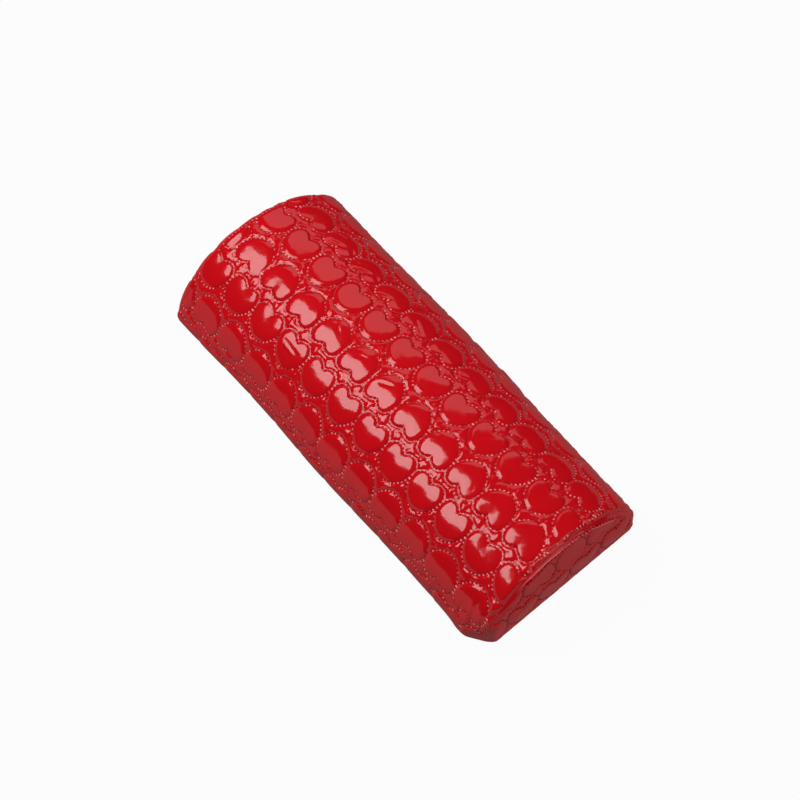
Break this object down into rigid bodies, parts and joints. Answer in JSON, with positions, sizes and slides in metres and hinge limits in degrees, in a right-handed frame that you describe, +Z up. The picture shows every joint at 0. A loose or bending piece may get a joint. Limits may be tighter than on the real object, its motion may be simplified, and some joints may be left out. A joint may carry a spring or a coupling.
{
  "type": "manicure hand rest",
  "caption": "Half-round padded hand rest, flat underneath: a foam block in a sewn glossy cover quilted with rows of hearts.",
  "frame": {"origin": "on the table, under the middle of the rest's box", "axes": "+X along the rest towards its near end, +Y across it, +Z up"},
  "size_m": [0.3154, 0.1364, 0.0624],
  "materials": {
    "quilted_cover": "glossy patent leathercloth, quilted",
    "plain_cover": "plain leathercloth, satin",
    "foam": "open-cell upholstery foam"
  },
  "bodies": {
    "root": {"top_panel": "quilted_cover", "near_end_panel": "quilted_cover", "far_end_panel": "quilted_cover", "base_panel": "plain_cover", "foam_core": "foam"}
  },
  "joints": []
}
